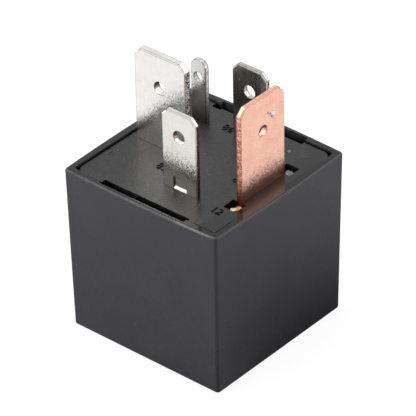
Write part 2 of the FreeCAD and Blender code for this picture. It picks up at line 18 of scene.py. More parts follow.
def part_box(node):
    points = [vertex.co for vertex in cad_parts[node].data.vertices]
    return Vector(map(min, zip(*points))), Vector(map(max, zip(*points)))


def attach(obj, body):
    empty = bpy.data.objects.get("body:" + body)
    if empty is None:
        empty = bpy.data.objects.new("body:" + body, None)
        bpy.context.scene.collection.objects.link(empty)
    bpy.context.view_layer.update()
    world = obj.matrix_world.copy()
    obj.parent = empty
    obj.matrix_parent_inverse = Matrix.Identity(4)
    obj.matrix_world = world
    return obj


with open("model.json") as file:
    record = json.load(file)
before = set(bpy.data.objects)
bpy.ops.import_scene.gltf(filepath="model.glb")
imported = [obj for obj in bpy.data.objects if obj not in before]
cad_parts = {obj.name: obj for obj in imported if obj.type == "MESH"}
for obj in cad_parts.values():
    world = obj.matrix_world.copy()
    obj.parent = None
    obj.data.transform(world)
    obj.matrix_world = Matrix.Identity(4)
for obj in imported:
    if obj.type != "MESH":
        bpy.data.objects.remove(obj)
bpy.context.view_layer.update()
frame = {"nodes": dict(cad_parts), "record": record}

MM = 0.001
nodes = frame["nodes"]
scene = bpy.context.scene

# %% [markdown]
# ## The camera
# A product photographer stands well back with a long lens, so the upright edges of the cup stay
# almost parallel. The place below was found by laying the edges of the CAD model over the
# photograph. The camera could be aimed with a constraint, but a matrix built from its three axes
# says the same in four lines and keeps the small roll of the hand-held camera.

# %% Camera from its measured angles
AZIMUTH, ELEVATION, ROLL = (math.radians(a) for a in (40.996, 34.061, -1.144))
DISTANCE, FOCAL_PIXELS, IMAGE_PIXELS = 561.576, 3873.254, 416
AIM, SLIDE_RIGHT, SLIDE_UP = Vector((0, 0, 12)), 0.316, 5.748


def away_from_relay(azimuth, elevation):
    """The direction from the relay at two angles in radians, counted from its front, -Y."""
    flat = math.cos(elevation)
    return Vector((math.sin(azimuth) * flat, -math.cos(azimuth) * flat, math.sin(elevation)))


back = away_from_relay(AZIMUTH, ELEVATION)
level = Vector((math.cos(AZIMUTH), math.sin(AZIMUTH), 0))
upright = back.cross(level)
right = level * math.cos(ROLL) + upright * math.sin(ROLL)
up = upright * math.cos(ROLL) - level * math.sin(ROLL)
place = (AIM + back * DISTANCE + right * SLIDE_RIGHT + up * SLIDE_UP) * MM

camera = bpy.data.objects.new("camera", bpy.data.cameras.new("camera"))
camera.matrix_world = Matrix.Translation(place) @ Matrix((right, up, back)).transposed().to_4x4()
camera.data.sensor_width = 36
camera.data.lens = FOCAL_PIXELS / IMAGE_PIXELS * camera.data.sensor_width
camera.data.clip_start, camera.data.clip_end = 0.05, 20
scene.collection.objects.link(camera)
scene.camera = camera
scene.view_settings.view_transform = "Standard"
print("lens", round(camera.data.lens, 1), "mm from", [round(c / MM) for c in place], "mm")

# %% [markdown]
# ## Small helpers for materials
# Colours are picked on a screen as sRGB hex, but light adds up in linear numbers, so one function
# turns the one into the other. The second adds a node with its settings and its links. Most
# patterns here are sized from real measures, so a third one opens a material whose coordinates
# are the part's own, in millimetres: a pattern of 0.3 mm then has a scale of 1 / 0.3.

# %% Colour, node and material helpers
BLEND = {"data_type": "RGBA"}  # settings of a Mix node that blends two colours
DARKEN = {"data_type": "RGBA", "blend_type": "MULTIPLY"}  # and of one that multiplies them
TIMES = {"operation": "MULTIPLY"}
TIMES_PLUS = {"operation": "MULTIPLY_ADD"}
SIZE = {"operation": "ABSOLUTE"}


def linear(hex_colour):
    """An sRGB colour such as "#8a8d90" as the linear RGBA that Blender works in."""
    parts = [int(hex_colour[i:i + 2], 16) / 255 for i in (1, 3, 5)]
    return tuple(c / 12.92 if c <= 0.04045 else ((c + 0.055) / 1.055) ** 2.4 for c in parts) + (1,)


def add(tree, kind, settings=None, sockets=None):
    """A new node. A socket takes a value, a node for its first output, or a node and an output's name."""
    node = tree.nodes.new("ShaderNode" + kind)
    for name, value in (settings or {}).items():
        setattr(node, name, value)
    for name, value in (sockets or {}).items():
        source, output = value if isinstance(value, tuple) and not isinstance(value[0], float | int) else (value, 0)
        if isinstance(source, bpy.types.Node):
            tree.links.new(source.outputs[output], node.inputs[name])
        else:
            node.inputs[name].default_value = value
    return node


def link(tree, source, shader, socket):
    """Feeds a socket from a node's first output, or from a node and an output's place or name."""
    node, output = source if isinstance(source, tuple) else (source, 0)
    tree.links.new(node.outputs[output], shader.inputs[socket])


def open_material(name, shader_sockets=None):
    """A material with its surface shader, and a node that gives the part's coordinates in mm."""
    material = bpy.data.materials.new(name)
    material.use_nodes = True
    tree = material.node_tree
    tree.nodes.clear()
    shader = add(tree, "BsdfPrincipled", None, shader_sockets)
    add(tree, "OutputMaterial", None, {"Surface": shader})
    own = add(tree, "TexCoord")
    mm = add(tree, "VectorMath", {"operation": "SCALE"}, {0: (own, "Object"), "Scale": 1 / MM})
    return material, tree, shader, mm


print("mid grey #808080 is", round(linear("#808080")[0], 3), "in linear light")

# %% [markdown]
# ## Floor, surroundings and lamps
# The photograph was taken in a white tent: the floor and the air behind are pure white, and the
# blades mirror that white wherever they don't mirror the black plate. One could light a white
# floor until it clips, but that light would also wash out the plastic. Here the floor and the
# world are white only for rays that come from the camera or from a mirror, and give ordinary soft
# light to everything else. The tent's roof is greyer than its walls, which keeps the tops of the
# blades from looking like lamps.

# %% World
FILL_LEVEL = 0.24  # light of the surroundings on a matt surface, where 1 shows a colour as written
ROOF_LEVEL = 0.76  # the roof of the tent as a mirror shows it


def ray_kinds(tree):
    """Two nodes that are 1 for rays from the camera, and for rays from a mirror or through glass."""
    path = add(tree, "LightPath")
    mirror = add(tree, "Math", {"operation": "MAXIMUM"}, {
        0: (path, "Is Glossy Ray"), 1: (path, "Is Transmission Ray")})
    return (path, "Is Camera Ray"), mirror


world = bpy.data.worlds.new("white_tent")
scene.world = world
world.use_nodes = True
sky = world.node_tree
sky.nodes.clear()
from_camera, from_mirror = ray_kinds(sky)
direction = add(sky, "SeparateXYZ", None, {0: (add(sky, "TexCoord"), "Generated")})
roof = add(sky, "MapRange", None, {"Value": (direction, "Z"), "From Min": 0.1, "From Max": 0.8,
                                   "To Min": 1.0, "To Max": ROOF_LEVEL})
soft = add(sky, "Mix", None, {0: from_mirror, 2: FILL_LEVEL, 3: roof})
strength = add(sky, "Mix", None, {0: from_camera, 2: soft, 3: 1.0})
glow = add(sky, "Background", None, {"Color": (1, 1, 1, 1), "Strength": strength})
add(sky, "OutputWorld", None, {"Surface": glow})
print("world", world.name)

# %% [markdown]
# The floor is a sheet of white paper. It keeps part of its matt shader, so the relay's faint
# shadow stays on it. To its right and back a painted shadow lies on it as well, a near-black matt patch
# that only mirrored and bounced light see, so the blades and the sheen of the cup show more shadow there.

# %% Paper floor
PAPER_BOUNCE = (0.55, 0.55, 0.56, 1)
SEEN_GLOW, SEEN_MATT = 0.86, 0.22
MIRRORED_GLOW, MIRRORED_MATT = 0.65, 0.3
SHADE_MIDDLE, SHADE_NEAR, SHADE_FAR = Vector((10, 8, 0)), 6, 32  # mm
FLOOR_HALF, FLOOR_DROP = 1.5, 0.00002  # m; a hair below the cup, so that the two don't touch

floor_finish = bpy.data.materials.new("white_paper_sweep")
floor_finish.use_nodes = True
paper = floor_finish.node_tree
paper.nodes.clear()
from_camera, from_mirror = ray_kinds(paper)


def glowing_paper(glow, matt):
    return add(paper, "AddShader", None, {
        0: add(paper, "Emission", None, {"Strength": glow}),
        1: add(paper, "BsdfDiffuse", None, {"Color": (matt, matt, matt, 1)})})


# painted shadow: a near-black matt patch where the relay's shade falls to its right and back, seen only by mirrored
# and bounced light
off_middle = add(paper, "VectorMath", {"operation": "DISTANCE"}, {
    0: (add(paper, "TexCoord"), "Object"), 1: SHADE_MIDDLE * MM})
shade = add(paper, "MapRange", {"interpolation_type": "SMOOTHSTEP"}, {
    "Value": (off_middle, "Value"), "From Min": SHADE_NEAR * MM, "From Max": SHADE_FAR * MM, "To Min": 0.0})
dark = add(paper, "BsdfDiffuse", None, {"Color": (0.02, 0.02, 0.02, 1)})
bounce = add(paper, "BsdfDiffuse", None, {"Color": PAPER_BOUNCE})
in_mirror = add(paper, "MixShader", None, {
    0: from_mirror, 1: bounce, 2: glowing_paper(MIRRORED_GLOW, MIRRORED_MATT)})
with_painted_shadow = add(paper, "MixShader", None, {0: shade, 1: dark, 2: in_mirror})
surface = add(paper, "MixShader", None, {0: from_camera, 1: with_painted_shadow, 2: glowing_paper(SEEN_GLOW, SEEN_MATT)})
add(paper, "OutputMaterial", None, {"Surface": surface})

sheet = bmesh.new()
bmesh.ops.create_grid(sheet, x_segments=1, y_segments=1, size=FLOOR_HALF)
floor_mesh = bpy.data.meshes.new("floor")
sheet.to_mesh(floor_mesh)
sheet.free()
floor_mesh.materials.append(floor_finish)
floor = bpy.data.objects.new("floor", floor_mesh)
floor.location.z = -FLOOR_DROP
scene.collection.objects.link(floor)
print("floor", 2 * FLOOR_HALF, "m wide")

# %% [markdown]
# The lamps are two soft boxes, level with the camera's left and right, and one overhead. Placed
# square to the view they light the two sides of the cup and leave the rounded corner between them
# in shade, which, with a painted shade on the corners of the cup, draws the dark upright band in the
# photograph. An area lamp of power P watts at distance d gives a facing surface the level
# P / (pi d)^2, so each power comes from the level that is wanted.

# %% Soft boxes
LAMPS_LOOK_AT = Vector((0, 0, 0.02))


def soft_box(name, azimuth, elevation, distance, size, wanted_level):
    """A square lamp that looks at the relay's middle from the given angles, in degrees."""
    away = away_from_relay(math.radians(azimuth), math.radians(elevation))
    lamp = bpy.data.lights.new(name, "AREA")
    lamp.shape, lamp.size = "SQUARE", size
    lamp.energy = wanted_level * (math.pi * distance) ** 2
    box = bpy.data.objects.new(name, lamp)
    box.location = LAMPS_LOOK_AT + away * distance
    box.rotation_euler = (-away).to_track_quat("-Z", "Y").to_euler()
    scene.collection.objects.link(box)
    print(name, round(lamp.energy, 2), "W")


soft_box("left_box", -52, 28, 0.5, 0.62, 0.83)
soft_box("right_box", 137, 33, 0.5, 0.62, 0.74)
soft_box("top_box", -60, 76, 0.6, 0.4, 0.42)

# %% [markdown]
# ## Moulded nylon: the cup and the plate
# Both are injection moulded from black glass-filled nylon (polyamide 66). The mould is spark
# eroded, which leaves a fine even grain of about 0.1 mm, and the glass fibres make the skin a
# little blotchy: the eye reads it as charcoal rather than black, with a broad dull sheen. The
# grain could be modelled, but it is only a few hundredths of a millimetre high, so it is a bump.
# It is drawn at 0.35 to 0.4 mm, because 0.1 mm is half a pixel. Slow changes of tone, 8 mm long,
# stand for the flow of the plastic. The top faces of the mould were polished, so they get a gloss of their
# own, and each finish says how much darker its level faces are painted: a painted shade.

# %% Nylon: flow and grain
FLOW_MM = 8


def moulded_skin(tree, mm, grain, level_face, dark, pale, contrast, level_shade):
    """The colour of the plastic, and how much the grain and the painted shade of the level faces darken it."""
    flow = add(tree, "TexNoise", None, {"Vector": mm, "Scale": 1 / FLOW_MM, "Detail": 3, "Roughness": 0.55})
    tone = add(tree, "MapRange", None, {"Value": flow, "From Min": 0.35, "From Max": 0.65})
    skin = add(tree, "Mix", BLEND, {0: tone, 6: linear(dark), 7: linear(pale)})
    mottle = add(tree, "MapRange", None, {"Value": grain, "From Min": 0.3, "From Max": 0.7,
                                          "To Min": 1 - contrast, "To Max": 1 + contrast})
    level_mottle = add(tree, "Math", TIMES, {0: mottle, 1: level_shade})
    mottle_and_level_shade = add(tree, "Mix", None, {0: level_face, 2: mottle, 3: level_mottle})
    return skin, mottle_and_level_shade


# %% [markdown]
# Black plastic looks blackest where no light gets in. The joint around the plate and the slots in
# it are a millimetre wide or less, and they get a painted shade that makes them black. Ambient occlusion
# over the last 2 mm finds such gaps from the geometry alone, so the same mask works from every side. The
# upright corners of the cup are painted darker than its sides, a painted shade on the rounded corner
# between the two lit sides, and a direction halfway between X and Y finds them. Near the front corner
# of the plate the joint gets a painted shadow as well.

# %% Nylon: painted shade in gaps and on corners, and a painted shadow along the joint
GAP_REACH = 2  # mm
JOINT_CORNER = (13.0, -13.0, 27.0)  # mm, the front corner of the plate
# painted shade: the near-black of narrow gaps and of the joint's painted shadow
GAP_SHADE = "#020202"


def open_to_air(tree):
    """1 in the open, and nearly 0 in a narrow gap, where the shade is painted."""
    hidden = add(tree, "AmbientOcclusion", {"samples": 8}, {"Distance": GAP_REACH * MM})
    return add(tree, "MapRange", None, {"Value": (hidden, "AO"), "From Min": 0.3, "From Max": 0.5, "To Min": 0.02})


def shaded_corners(tree, facing):
    """Painted shade: 1 on the sides, and less where a face looks both ways, as the upright corners do."""
    both_ways = [add(tree, "Math", SIZE, {0: (facing, axis)}) for axis in "XY"]
    lesser = add(tree, "Math", {"operation": "MINIMUM"}, dict(enumerate(both_ways)))
    return add(tree, "MapRange", None, {"Value": lesser, "From Min": 0.3, "From Max": 0.55,
                                        "To Min": 1.0, "To Max": 0.4})


def from_middle(tree, part):
    """How far out a point lies, along X or Y, whichever is more."""
    out_ways = [add(tree, "Math", SIZE, {0: (part, axis)}) for axis in "XY"]
    return add(tree, "Math", {"operation": "MAXIMUM"}, dict(enumerate(out_ways)))


def painted_joint_shadow(tree, mm, outward, joint):
    """1 where the joint gets its painted shadow, near the front corner of the plate."""
    at_joint = add(tree, "MapRange", None, {"Value": outward, "From Min": joint, "From Max": joint + 0.1})
    from_corner = add(tree, "VectorMath", {"operation": "DISTANCE"}, {0: mm, 1: JOINT_CORNER})
    near_corner = add(tree, "MapRange", None, {"Value": (from_corner, "Value"), "From Min": 5.5, "From Max": 3.5})
    return add(tree, "Math", TIMES, {0: at_joint, 1: near_corner})


# %% [markdown]
# Nothing black stays clean. Lint lies on it as pale specks, a finer dust as a thin film in small
# patches, and on the sides the film grows thicker towards the rim, so the sides are paler towards the top.
# Specks could be scattered as tiny meshes, but a Voronoi pattern gives one dot to each cell for
# nothing: the cell's size says how far apart the specks lie, and the distance from its middle
# how large each one is.

# %% Nylon: lint and dust
LINT_APART, FINE_LINT_APART, FILM_MM = 3, 1.1, 0.7  # mm
LINT, DUST_FILM = "#8d8f92", "#6f6f72"


def settle_dust(tree, mm, toned, part, level_face, contrast, veil):
    """The colour under its specks, 0.2 mm across, and its film of dust."""
    lint = add(tree, "TexVoronoi", None, {"Vector": mm, "Scale": 1 / LINT_APART})
    speck = add(tree, "MapRange", None, {"Value": lint, "From Min": 0.025, "From Max": 0.05,
                                         "To Min": 0.65 * contrast, "To Max": 0.0})
    fine_lint = add(tree, "TexVoronoi", None, {"Vector": mm, "Scale": 1 / FINE_LINT_APART})
    fine_speck = add(tree, "MapRange", None, {"Value": fine_lint, "From Min": 0.05, "From Max": 0.11,
                                              "To Min": 0.4 * contrast, "To Max": 0.0})
    specks = add(tree, "Math", {"operation": "MAXIMUM"}, {0: speck, 1: fine_speck})
    dotted = add(tree, "Mix", BLEND, {0: specks, 6: (toned, 2), 7: linear(LINT)})

    patches = add(tree, "TexNoise", None, {"Vector": mm, "Scale": 1 / FILM_MM, "Detail": 6, "Roughness": 0.78})
    film = add(tree, "MapRange", None, {"Value": patches, "From Min": 0.46, "From Max": 0.7,
                                        "To Max": 0.13 * contrast})
    settled = add(tree, "MapRange", None, {"Value": (part, "Z"), "From Min": 6, "From Max": 27, "To Max": veil})
    on_side = add(tree, "Math", {"operation": "SUBTRACT"}, {0: 1.0, 1: level_face})
    filmed = add(tree, "Math", TIMES_PLUS, {0: settled, 1: on_side, 2: film})
    return add(tree, "Mix", BLEND, {0: filmed, 6: (dotted, 2), 7: linear(DUST_FILM)})


# %% [markdown]
# Handling rubs the edges pale, and the same pale colour also paints a highlight along them. A Bevel
# node gives the direction that a rounded copy of the surface would have, so wherever that leans away
# from the real one there is an edge. The moulded round of the rim is wide enough to find by its slope.
# Along it the pale is patchy, weaker on faces that look towards +X, and whole at one place on the rim,
# a painted highlight.

# %% Nylon: pale edges, rubbed and painted as highlight
# pale edges: rubbed plastic and painted highlight; the place on the rim below is a painted highlight
PALE_EDGE_RADIUS, EDGE_PATCH_MM = 0.16, 1.2  # mm
RIM_HIGHLIGHT_PLACE = (10.0, -14.4, 27.3)  # mm, the rubbed place on the rim


def pale_edges_and_highlight(tree, mm, geometry, facing, outward):
    """How much of the pale colour shows, from 0 to 1: rubbed plastic and painted highlight."""
    rounded = add(tree, "Bevel", {"samples": 6}, {"Radius": PALE_EDGE_RADIUS * MM})
    lean = add(tree, "VectorMath", {"operation": "DOT_PRODUCT"}, {0: rounded, 1: (geometry, "Normal")})
    at_edge = add(tree, "MapRange", None, {"Value": (lean, "Value"), "From Min": 0.985, "From Max": 0.85})
    inner_edge = add(tree, "MapRange", None, {"Value": outward, "From Min": 13.8, "From Max": 13.5,
                                              "To Min": 1.0, "To Max": 0.35})
    pale_inner_edge = add(tree, "Math", TIMES, {0: inner_edge, 1: at_edge})

    sloping = add(tree, "MapRange", None, {"Value": (facing, "Z"), "From Min": 0.25, "From Max": 0.45})
    not_level = add(tree, "MapRange", None, {"Value": (facing, "Z"), "From Min": 0.95, "From Max": 0.85})
    round_edge = add(tree, "Math", TIMES, {0: sloping, 1: not_level})
    faint = add(tree, "Math", TIMES, {0: round_edge, 1: 0.3})
    pale_edge = add(tree, "Math", {"operation": "MAXIMUM"}, {0: pale_inner_edge, 1: faint})

    edge_patch_noise = add(tree, "TexNoise", None, {"Vector": mm, "Scale": 1 / EDGE_PATCH_MM, "Detail": 5, "Roughness": 0.7})
    patchy = add(tree, "MapRange", None, {"Value": edge_patch_noise, "From Min": 0.42, "From Max": 0.58, "To Min": 0.1})
    patches = add(tree, "Math", TIMES, {0: pale_edge, 1: patchy})
    weaker_towards_x = add(tree, "MapRange", None, {"Value": (facing, "X"), "From Min": 0.2, "From Max": 0.5,
                                                "To Min": 1.0, "To Max": 0.3})
    wear_and_highlight = add(tree, "Math", TIMES, {0: weaker_towards_x, 1: patches})

    # painted highlight, whole at one place on the rim
    from_rim_highlight = add(tree, "VectorMath", {"operation": "DISTANCE"}, {0: mm, 1: RIM_HIGHLIGHT_PLACE})
    rim_highlight_patch = add(tree, "MapRange", None, {"Value": (from_rim_highlight, "Value"), "From Min": 3.7, "From Max": 2.7,
                                         "To Max": 0.65})
    rim_highlight = add(tree, "Math", TIMES, {0: rim_highlight_patch, 1: round_edge})
    return add(tree, "Math", {"operation": "MAXIMUM"}, {0: wear_and_highlight, 1: rim_highlight})


# %% [markdown]
# The finish puts these together: skin, painted shade, dust, pale edges of wear and painted highlight,
# and the painted shadow of the joint for the colour, one gloss for the sides and another for the level
# faces, and the grain as relief. Beside the copper blade the level faces are clean and as smooth as the
# mould, so they mirror it, and their colour is painted darker there as shade. In a gap a black matt
# shader is mixed in as painted shade: it swallows the sheen, which a darker colour alone can't.

# %% Spark-eroded nylon
WIPED_FROM, WIPED_TO = 9.5, 11.2  # mm along X, beside the copper blade
# beside the copper blade: clean and smooth, and painted darker there, a painted shade
WIPED_AND_SHADED, WIPED_ROUGHNESS, WIPED_RELIEF = "#060607", 0.1, 0.15
NO_JOINT = 99  # mm from the middle, further out than any part


def eroded_nylon(name, dark, pale, edge, roughness, level_roughness, level_shade, grain_mm, grain_height,
                 contrast, shine, mottled_gloss=0.16, joint=NO_JOINT, veil=0.0):
    """Black nylon, whose level faces have their own roughness and painted shade. Lengths are in mm. edge is
    the colour of the pale edges, rubbed plastic and painted highlight, joint how far from the middle the
    painted shadow of the joint starts, and veil how much dust lies at the height of the rim."""
    material, tree, shader, mm = open_material(name, {"IOR": 1.53, "Specular IOR Level": shine})
    grain = add(tree, "TexNoise", None, {"Vector": mm, "Scale": 1 / grain_mm, "Detail": 3, "Roughness": 0.7})
    geometry = add(tree, "NewGeometry")
    facing = add(tree, "SeparateXYZ", None, {0: (geometry, "Normal")})
    level_face = add(tree, "MapRange", None, {"Value": (facing, "Z"), "From Min": 0.8, "From Max": 0.97})
    part = add(tree, "SeparateXYZ", None, {0: mm})
    outward = from_middle(tree, part)

    skin, mottle_and_level_shade = moulded_skin(tree, mm, grain, level_face, dark, pale, contrast, level_shade)
    open_air = open_to_air(tree)
    # painted shade: darker in narrow gaps, on the upright corners, and by level_shade on the level faces
    mottle_and_painted_shade = add(tree, "Math", TIMES, {0: mottle_and_level_shade, 1: open_air})
    mottle_and_painted_shade = add(tree, "Math", TIMES, {0: mottle_and_painted_shade, 1: shaded_corners(tree, facing)})
    toned = add(tree, "Mix", DARKEN, {0: 1.0, 6: (skin, 2), 7: mottle_and_painted_shade})
    dusty = settle_dust(tree, mm, toned, part, level_face, contrast, veil)
    wear_and_highlight = pale_edges_and_highlight(tree, mm, geometry, facing, outward)
    with_pale_edges = add(tree, "Mix", BLEND, {0: wear_and_highlight, 6: (dusty, 2), 7: linear(edge)})
    # painted shadow along the joint near the front corner of the plate, matt there too
    joint_shadow = painted_joint_shadow(tree, mm, outward, joint)
    joined = add(tree, "Mix", BLEND, {0: joint_shadow, 6: (with_pale_edges, 2), 7: linear(GAP_SHADE)})
    # beside the copper blade the level faces are clean, smooth, and painted darker as shade
    beside = add(tree, "MapRange", None, {"Value": (part, "X"), "From Min": WIPED_FROM, "From Max": WIPED_TO})
    glossy = add(tree, "Math", TIMES, {0: level_face, 1: beside})
    wiped_and_shaded = add(tree, "Mix", BLEND, {0: glossy, 6: (joined, 2), 7: linear(WIPED_AND_SHADED)})
    link(tree, (wiped_and_shaded, 2), shader, "Base Color")

    moulded = add(tree, "Mix", None, {0: level_face, 2: roughness, 3: level_roughness})
    smooth = add(tree, "Mix", None, {0: glossy, 2: moulded, 3: WIPED_ROUGHNESS})
    lowest = add(tree, "Math", {"operation": "SUBTRACT"}, {0: smooth, 1: mottled_gloss / 2})
    gloss = add(tree, "Math", TIMES_PLUS, {0: grain, 1: mottled_gloss, 2: lowest})
    matt_at_joint = add(tree, "Mix", None, {0: joint_shadow, 2: gloss, 3: 1.0})
    link(tree, matt_at_joint, shader, "Roughness")
    depth = add(tree, "MapRange", None, {"Value": glossy, "To Min": 1.0, "To Max": WIPED_RELIEF})
    relief = add(tree, "Bump", None, {"Strength": depth, "Distance": grain_height * MM, "Height": grain})
    link(tree, relief, shader, "Normal")

    # painted shade: a black matt shader mixed in where the gaps are
    painted_gap_shade = add(tree, "BsdfDiffuse", None, {"Color": linear(GAP_SHADE)})
    surface = add(tree, "MixShader", None, {0: open_air, 1: painted_gap_shade, 2: shader})
    output = next(node for node in tree.nodes if node.type == "OUTPUT_MATERIAL")
    link(tree, surface, output, "Surface")
    return material


# spark-eroded sides: charcoal with an even, broad sheen, paler towards the rim; the rim's level top is painted
# darker, a painted shade
cup_nylon = eroded_nylon("glass_filled_nylon_cup", "#25252c", "#2b2b32", "#8a877e", 0.6, 0.28, 0.25,
                         0.35, 0.03, 0.25, 0.4, veil=0.13)
# the plate lay flat in a polished mould: near black, with a closer and mottled gloss, dust that shows, and a
# painted shadow along its joint
plate_nylon = eroded_nylon("glass_filled_nylon_plate", "#0c0c0d", "#151516", "#8a877e", 0.5, 0.34, 0.9,
                           0.4, 0.05, 1.0, 0.5, mottled_gloss=0.5, joint=12.6)
# the numbers were engraved in the mould: smooth, dark and without shine
number_nylon = eroded_nylon("smooth_nylon_numbers", "#0c0c0d", "#121213", "#6a6862", 0.5, 0.5, 1.0,
                            0.35, 0.01, 0.3, 0.2)
print("nylons:", cup_nylon.name, plate_nylon.name, number_nylon.name)

# %% [markdown]
# ## Stamped strip: the five blades
# The blades are blanked from rolled copper alloy strip. Four are tin plated as strip, before
# blanking, so their two faces are satin silver, with the fine lines of the rolls along them and
# soft clouds where the tin flowed. The fifth is bare copper. The lines of real strip are far
# finer than a pixel, so they are drawn 0.25 mm wide.

# %% Strip: rolled faces
ROLL_WIDTH, ROLL_LENGTH, CLOUD_MM = 0.25, 9, 2.2  # mm


def rolled_face(tree, mm, lines, face, face_dark):
    """The tone of the face, from 0 to 1, and its colour. lines says how much of it is rolling lines."""
    lengthened = add(tree, "VectorMath", TIMES, {0: mm, 1: (1 / ROLL_WIDTH, 1 / ROLL_WIDTH, 1 / ROLL_LENGTH)})
    rolled = add(tree, "TexNoise", None, {"Vector": lengthened, "Scale": 1.0, "Detail": 2})
    cloud = add(tree, "TexNoise", None, {"Vector": mm, "Scale": 1 / CLOUD_MM, "Detail": 4, "Roughness": 0.65})
    clouds = add(tree, "Math", TIMES, {0: cloud, 1: 1 - lines})
    tone = add(tree, "Math", TIMES_PLUS, {0: rolled, 1: lines, 2: clouds})
    shade = add(tree, "MapRange", None, {"Value": tone, "From Min": 0.36, "From Max": 0.6})
    return tone, add(tree, "Mix", BLEND, {0: shade, 6: linear(face_dark), 7: linear(face)})


# %% [markdown]
# The tip is coined after blanking: a press squeezes a slope on each side of its end and on its two
# corners. The long slopes come out duller than the face and are painted darker, a painted shade; the
# corner that looks at the lamp shines, and each finish says how far its colour is painted darker there,
# a painted shade on the highlight.

# %% Strip: coined tip, with painted shade
def shaded_coined_tip(tree, plate, part, facing, lit_way, top, corner_shade):
    """How much a point belongs to the dull slopes of the tip, and the colour with painted shade on tip and corners.
    """
    straight = add(tree, "MapRange", None, {"Value": lit_way, "From Min": 0.3, "From Max": 0.15})
    high = add(tree, "MapRange", None, {"Value": (part, "Z"), "From Min": top - 0.5, "From Max": top - 0.4})
    tilted = add(tree, "MapRange", None, {"Value": (facing, "Z"), "From Min": 0.15, "From Max": 0.3})
    level_top = add(tree, "MapRange", None, {"Value": (facing, "Z"), "From Min": 0.97, "From Max": 0.9})
    sloped = add(tree, "Math", TIMES, {0: tilted, 1: level_top})
    high_slope = add(tree, "Math", TIMES, {0: high, 1: sloped})
    tip = add(tree, "Math", TIMES, {0: straight, 1: high_slope})
    # painted shade: the slopes of the tip darkened, and below, the lit corners by corner_shade
    tip_shaded = add(tree, "Mix", DARKEN, {0: tip, 6: (plate, 2), 7: (0.42, 0.41, 0.39, 1)})
    lit_side = add(tree, "MapRange", None, {"Value": lit_way, "From Min": 0.3, "From Max": 0.5})
    lit_corner = add(tree, "Math", TIMES, {0: tilted, 1: lit_side})
    return tip, add(tree, "Mix", DARKEN, {
        0: lit_corner, 6: (tip_shaded, 2), 7: (corner_shade, corner_shade, corner_shade, 1)})


# %% [markdown]
# The cut sides show how the blade was blanked: first a smooth band where the punch wiped the
# metal, then a torn, reddish brown band with bits of bright and dark, and along the rear edge, where the
# burr is, a thin painted shade that draws an outline. All this could be modelled, but the bands are a
# third of a millimetre wide, so masks from the surface's direction and from the place across the
# thickness give them without any mesh. The torn bits are about 0.05 mm in real metal and are drawn at
# 0.18 mm, about a pixel.

# %% Strip: torn sides, and painted shade along the burr
TORN_MM, RAGGED_MM, TORN_DEPTH = 0.18, 0.25, 0.07  # mm
# painted shade along the rear edge
REAR_EDGE_DARKENING = (0.5, 0.49, 0.48, 1)


def torn_side(tree, mm, plate, turned, across_place, aside, low, thick, half_width, torn, torn_dark):
    """Where the two torn sides are, their colour, and the ragged pattern for their relief."""
    cut = add(tree, "MapRange", None, {"Value": turned, "From Min": 0.86, "From Max": 0.93})
    outer = add(tree, "Math", {"operation": "GREATER_THAN"}, {0: aside, 1: half_width - 0.25})
    edge = add(tree, "Math", TIMES, {0: cut, 1: outer})
    depth = add(tree, "MapRange", None, {"Value": across_place, "From Min": low, "From Max": low + thick})
    ragged = add(tree, "TexNoise", None, {"Vector": mm, "Scale": 1 / RAGGED_MM, "Detail": 2, "Roughness": 0.7})
    border = add(tree, "Math", TIMES_PLUS, {0: ragged, 1: 0.6, 2: depth})
    ripped = add(tree, "MapRange", None, {"Value": border, "From Min": 0.36, "From Max": 0.46})
    torn_bits = add(tree, "TexVoronoi", None, {"Vector": mm, "Scale": 1 / TORN_MM})
    bits = add(tree, "MapRange", None, {"Value": (torn_bits, "Color"), "From Min": 0.45, "From Max": 0.53})
    core = add(tree, "Mix", BLEND, {0: bits, 6: linear(torn_dark), 7: linear(torn)})
    return edge, add(tree, "Mix", BLEND, {0: ripped, 6: (plate, 2), 7: (core, 2)}), ragged


def painted_rear_edge(tree, colour, across_place, lit_way, low, thick, lit_side):
    """The colour with a thin painted shade along the rear edge of the lit side, where the burr is."""
    front, rear = (low, low + thick) if lit_side > 0 else (low + thick, low)
    behind = add(tree, "MapRange", None, {"Value": across_place, "From Min": front + 0.68 * (rear - front),
                                          "From Max": front + 0.8 * (rear - front)})
    lit = add(tree, "MapRange", None, {"Value": lit_way, "From Min": 0.3, "From Max": 0.5})
    rear_edge = add(tree, "Math", TIMES, {0: behind, 1: lit})
    return add(tree, "Mix", DARKEN, {0: rear_edge, 6: (colour, 2), 7: REAR_EDGE_DARKENING})


# %% [markdown]
# The walls of a hole are painted dark as shade, apart from its lit floor. The tin has pits of 0.1 to
# 0.2 mm, and a fine line of painted shade runs along each crease between two facets: again a Bevel node
# finds the creases. The foot of each blade is painted warmer and darker towards the plate, a painted shade.

# %% Strip: holes, pits, creases and foot
PIT_MM, CREASE_RADIUS = 0.22, 0.18  # mm


def shaded_hole_walls(tree, colour, part, facing, across, aside, half_width, top):
    """The colour with painted shade on the walls of the holes, lighter where they face up."""
    flat = add(tree, "Math", SIZE, {0: (facing, across)})
    wall = add(tree, "MapRange", None, {"Value": flat, "From Min": 0.3, "From Max": 0.15})
    inside = add(tree, "Math", {"operation": "LESS_THAN"}, {0: aside, 1: half_width - 0.45})
    below_tip = add(tree, "Math", {"operation": "LESS_THAN"}, {0: (part, "Z"), 1: top - 1.2})
    within = add(tree, "Math", TIMES, {0: inside, 1: below_tip})
    hole_wall = add(tree, "Math", TIMES, {0: wall, 1: within})
    lit = add(tree, "MapRange", None, {"Value": (facing, "Z"), "From Min": -0.2, "From Max": 0.5,
                                       "To Min": 0.35, "To Max": 1.0})
    return add(tree, "Mix", DARKEN, {0: hole_wall, 6: (colour, 2), 7: lit})


